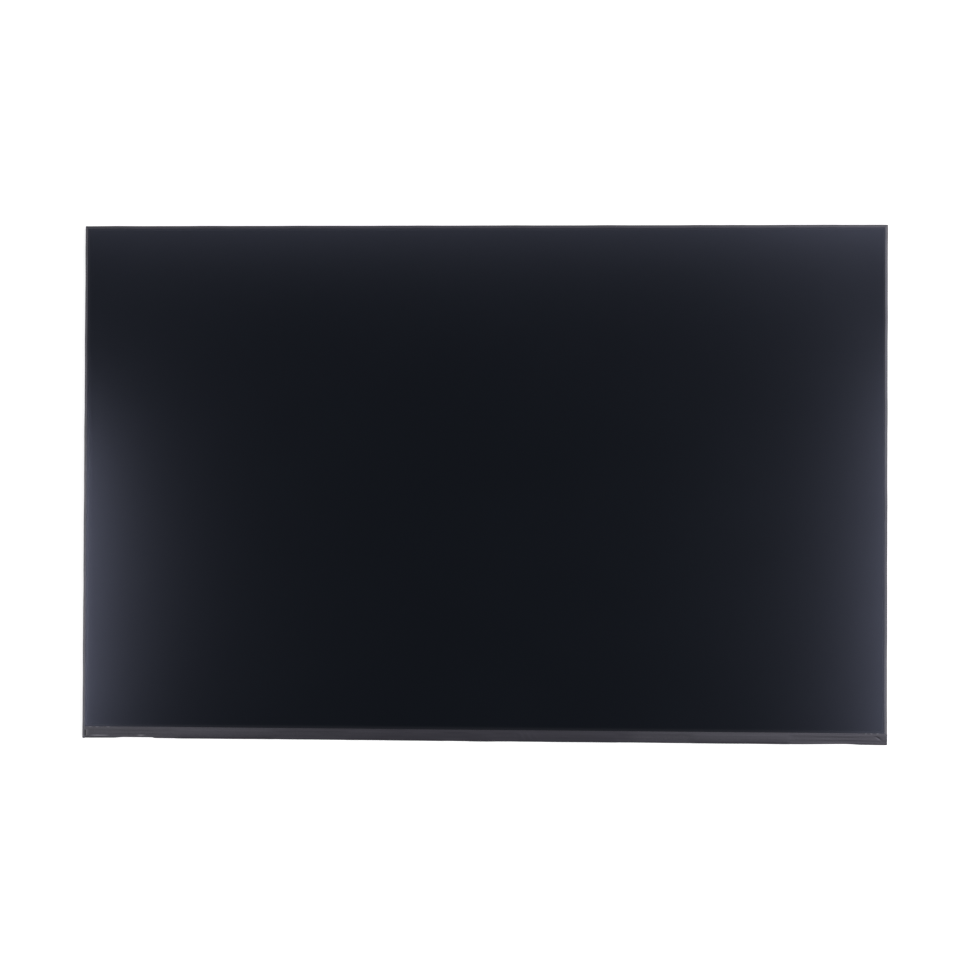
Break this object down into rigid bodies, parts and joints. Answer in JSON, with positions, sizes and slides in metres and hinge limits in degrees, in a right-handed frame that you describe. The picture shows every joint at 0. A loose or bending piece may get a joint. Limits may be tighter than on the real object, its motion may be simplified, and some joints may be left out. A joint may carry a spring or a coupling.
{
  "type": "laptop screen panel",
  "caption": "Thin bare LCD screen panel with a matt black picture face, narrow taped borders, a taped bottom strip and a metal back with a covered driver board and a signal socket.",
  "frame": {"origin": "middle of the outline, at the height of the lowest face of the back, with the panel lying on its back", "axes": "+X to the viewer's right along the long side, +Y towards the top edge of the picture, +Z out of the picture towards the viewer"},
  "size_m": [0.306, 0.1966, 0.0039],
  "materials": {
    "anti_glare_film": "fine matt anti-glare coat on black polarising film",
    "cell_glass": "thin polished glass, dark behind the polarising film",
    "polarising_film": "smooth dark polarising film",
    "prism_film": "clear film with fine ridges",
    "diffuser_film": "milky matt film",
    "light_guide": "clear polished acrylic",
    "reflector_film": "white satin film",
    "white_flex": "white coated flexible circuit",
    "lamp_body": "white moulded plastic",
    "lamp_phosphor": "yellow phosphor in clear resin",
    "white_moulding": "white moulded polycarbonate",
    "black_tape": "matt black adhesive tape",
    "foam_tape": "black double-sided tape",
    "shell_metal": "satin rolled aluminium sheet",
    "circuit_board": "green solder mask on glass-fibre board",
    "driver_film": "brown polyimide film with copper tracks",
    "bare_chip": "bare silicon, polished grey",
    "chip_package": "matt black moulded package",
    "capacitor_ceramic": "brown ceramic with tinned ends",
    "ferrite": "dark grey pressed ferrite",
    "socket_plastic": "black heat-proof plastic",
    "socket_steel": "tinned steel sheet",
    "gold_contact": "gold-plated copper alloy",
    "cover_film": "matt black polyester film"
  },
  "bodies": {
    "root": {"front_polariser": "anti_glare_film", "colour_filter_glass": "cell_glass", "tft_glass": "cell_glass", "rear_polariser": "polarising_film", "rim_tape": "foam_tape", "upper_prism_sheet": "prism_film", "lower_prism_sheet": "prism_film", "diffuser_sheet": "diffuser_film", "light_guide_plate": "light_guide", "reflector_sheet": "reflector_film", "light_bar_flex": "white_flex", "led_housings": "lamp_body", "led_windows": "lamp_phosphor", "middle_frame": "white_moulding", "rear_shell": "shell_metal", "board": "circuit_board", "board_tape": "foam_tape", "timing_controller": "chip_package", "memory_chip": "chip_package", "power_converter": "chip_package", "inductor_1": "ferrite", "inductor_2": "ferrite", "ceramic_capacitors": "capacitor_ceramic", "socket_housing": "socket_plastic", "socket_shell": "socket_steel", "socket_contacts": "gold_contact", "board_cover_film": "cover_film", "bottom_tape": "black_tape", "top_edge_tape": "black_tape", "left_edge_tape": "black_tape", "right_edge_tape": "black_tape", "driver_film_1": "driver_film", "driver_chip_1": "bare_chip", "driver_film_2": "driver_film", "driver_chip_2": "bare_chip", "driver_film_3": "driver_film", "driver_chip_3": "bare_chip", "driver_film_4": "driver_film", "driver_chip_4": "bare_chip"}
  },
  "joints": []
}
